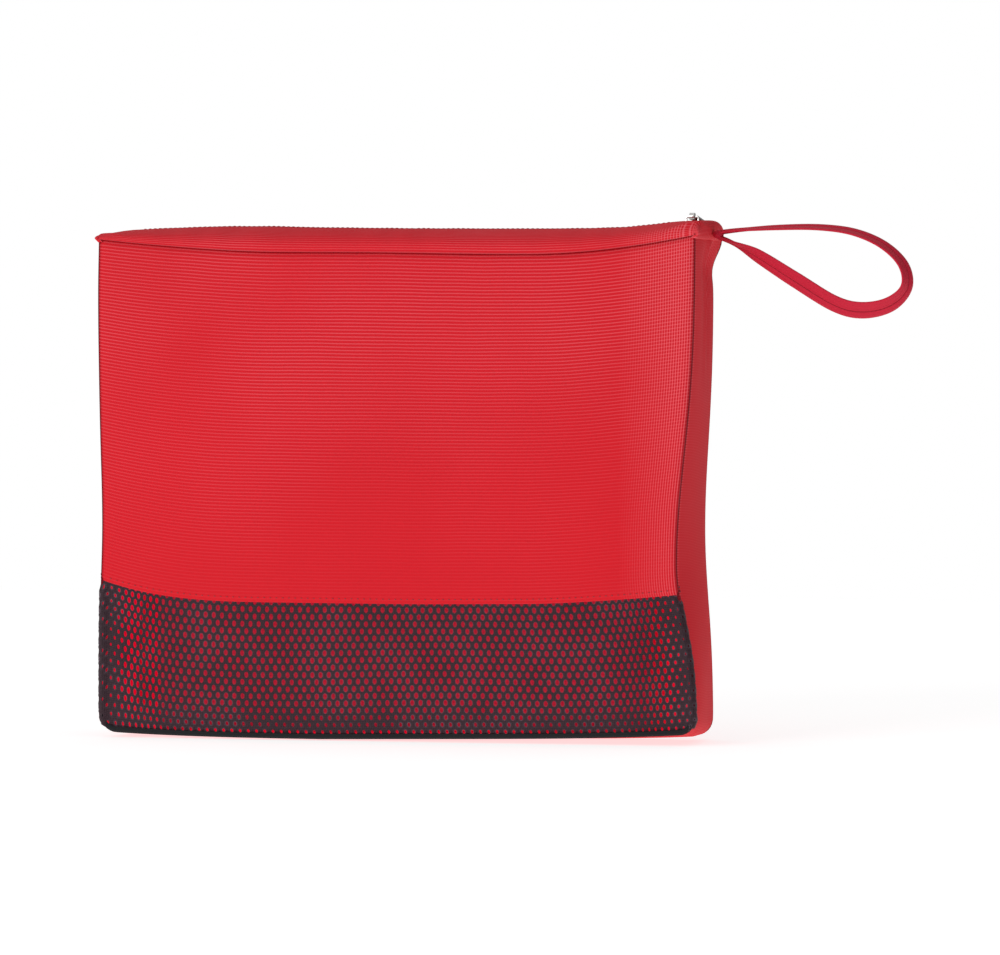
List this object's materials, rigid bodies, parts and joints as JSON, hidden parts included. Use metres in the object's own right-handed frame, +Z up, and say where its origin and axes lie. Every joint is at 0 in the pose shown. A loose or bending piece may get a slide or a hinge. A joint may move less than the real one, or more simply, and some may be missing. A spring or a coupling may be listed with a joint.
{
  "type": "fire blanket in pouch",
  "caption": "Folded fire blanket in a soft zip-top pouch with a gusset all round, a mesh window across the lower front and a wrist strap at one end.",
  "frame": {"origin": "middle of the flat underside of the bottom gusset, which the pouch stands on", "axes": "+X along the zip towards the wrist strap, -Y out of the front with the mesh window, +Z up"},
  "size_m": [0.4165, 0.06, 0.2648],
  "materials": {
    "shell": "red polyester cloth with fine woven ribs, soft sheen",
    "mesh": "black knitted mesh, oval holes in staggered rows",
    "tape": "black woven tape",
    "teeth": "black nylon coil teeth, satin",
    "metal": "bright nickel-plated zinc casting",
    "strap": "red cloth folded and edge stitched",
    "blanket": "crimson coated glass cloth, satin"
  },
  "bodies": {
    "pouch": {"front_panel": "shell", "mesh_window": "mesh", "mesh_bottom_binding": "tape", "mesh_top_band": "mesh", "back_panel": "shell", "gusset_strip": "shell", "seam_binding_front": "tape", "seam_binding_back": "tape", "top_gusset_end_left": "shell", "top_gusset_end_right": "shell", "zip_tape_end_left": "tape", "zip_tape_end_right": "tape", "zip_top_stop": "teeth", "zip_bottom_stop": "teeth"},
    "front_lip": {"top_gusset_front": "shell", "zip_tape_front": "tape", "zip_teeth_front": "teeth"},
    "back_lip": {"top_gusset_back": "shell", "zip_tape_back": "tape", "zip_teeth_back": "teeth"},
    "slider": {"zip_slider": "metal"},
    "pull_tab": {"zip_pull_tab": "metal"},
    "wrist_strap": {"wrist_strap": "strap"},
    "blanket": {"folded_blanket": "blanket", "blanket_pull_tape_left": "tape", "blanket_pull_tape_right": "tape"}
  },
  "joints": [
    {"name": "zip_slide", "type": "slide", "parent": "pouch", "child": "slider", "axis": [-1, 0, 0], "range_m": [0, 0.2926]},
    {"name": "pull_tab_swing", "type": "hinge", "parent": "slider", "child": "pull_tab", "pos_m": [0.1463, 0, 0.263], "axis": [1, 0, 0], "range_deg": [0, 200]},
    {"name": "wrist_strap_swing", "type": "hinge", "parent": "pouch", "child": "wrist_strap", "pos_m": [0.1593, 0, 0.254], "axis": [0, -1, 0], "range_deg": [-45, 35]},
    {"name": "blanket_lift", "type": "slide", "parent": "pouch", "child": "blanket", "axis": [0, 0, 1], "range_m": [0, 0.262], "deforming": ["top_gusset_front", "zip_tape_front", "zip_teeth_front", "top_gusset_back", "zip_tape_back", "zip_teeth_back"]},
    {"name": "front_lip_open", "type": "hinge", "parent": "pouch", "child": "front_lip", "pos_m": [0, -0.03, 0.246], "axis": [1, 0, 0], "range_deg": [0, 70]},
    {"name": "back_lip_open", "type": "hinge", "parent": "pouch", "child": "back_lip", "pos_m": [0, 0.03, 0.246], "axis": [-1, 0, 0], "range_deg": [0, 70]}
  ],
  "couplings": [
    {"joint": "front_lip_open", "follows": "blanket_lift", "rad_per_m": 4.66},
    {"joint": "back_lip_open", "follows": "blanket_lift", "rad_per_m": 4.66}
  ]
}
